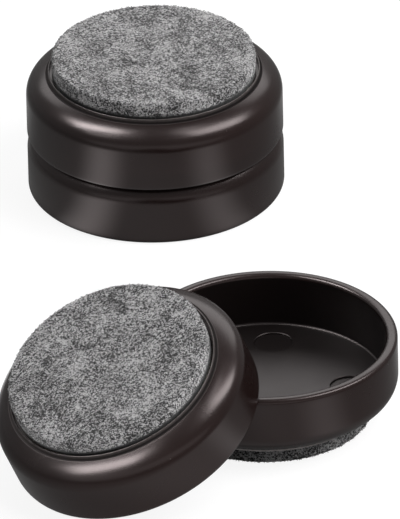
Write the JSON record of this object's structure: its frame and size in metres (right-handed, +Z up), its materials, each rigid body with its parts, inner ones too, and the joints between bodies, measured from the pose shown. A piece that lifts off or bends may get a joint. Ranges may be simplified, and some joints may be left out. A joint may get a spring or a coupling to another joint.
{
  "type": "anti-slip furniture pad",
  "caption": "Set of round moulded furniture caster cups with felt feet: an upright pad, a pad leaning on its rim and a nested stack of upturned pads.",
  "frame": {"origin": "centre of the upright pad's felt foot, on the floor", "axes": "+Z up, out of the upright pad's leg socket; -Y towards the viewer of the picture; +X to the viewer's right"},
  "size_m": [0.1012, 0.2117, 0.0442],
  "materials": {
    "cup_plastic": "satin moulded plastic, espresso brown",
    "felt": "heather grey needle felt",
    "adhesive": "double-sided adhesive tape"
  },
  "bodies": {
    "upright_pad": {"upright_cup": "cup_plastic", "upright_adhesive": "adhesive", "upright_felt": "felt"},
    "leaning_pad": {"leaning_cup": "cup_plastic", "leaning_adhesive": "adhesive", "leaning_felt": "felt"},
    "stack_lower_pad": {"stack_lower_cup": "cup_plastic", "stack_lower_adhesive": "adhesive", "stack_lower_felt": "felt"},
    "stack_upper_pad": {"stack_upper_cup": "cup_plastic", "stack_upper_adhesive": "adhesive", "stack_upper_felt": "felt"}
  },
  "joints": [
    {"name": "leaning_lift", "type": "slide", "parent": "upright_pad", "child": "leaning_pad", "axis": [-0.5572, -0.4353, 0.7071], "range_m": [0, 0.08]},
    {"name": "stack_lift", "type": "slide", "parent": "upright_pad", "child": "stack_lower_pad", "axis": [0, 0, 1], "range_m": [0, 0.06]},
    {"name": "stack_upper_lift", "type": "slide", "parent": "stack_lower_pad", "child": "stack_upper_pad", "axis": [0, 0, 1], "range_m": [0, 0.06]}
  ]
}
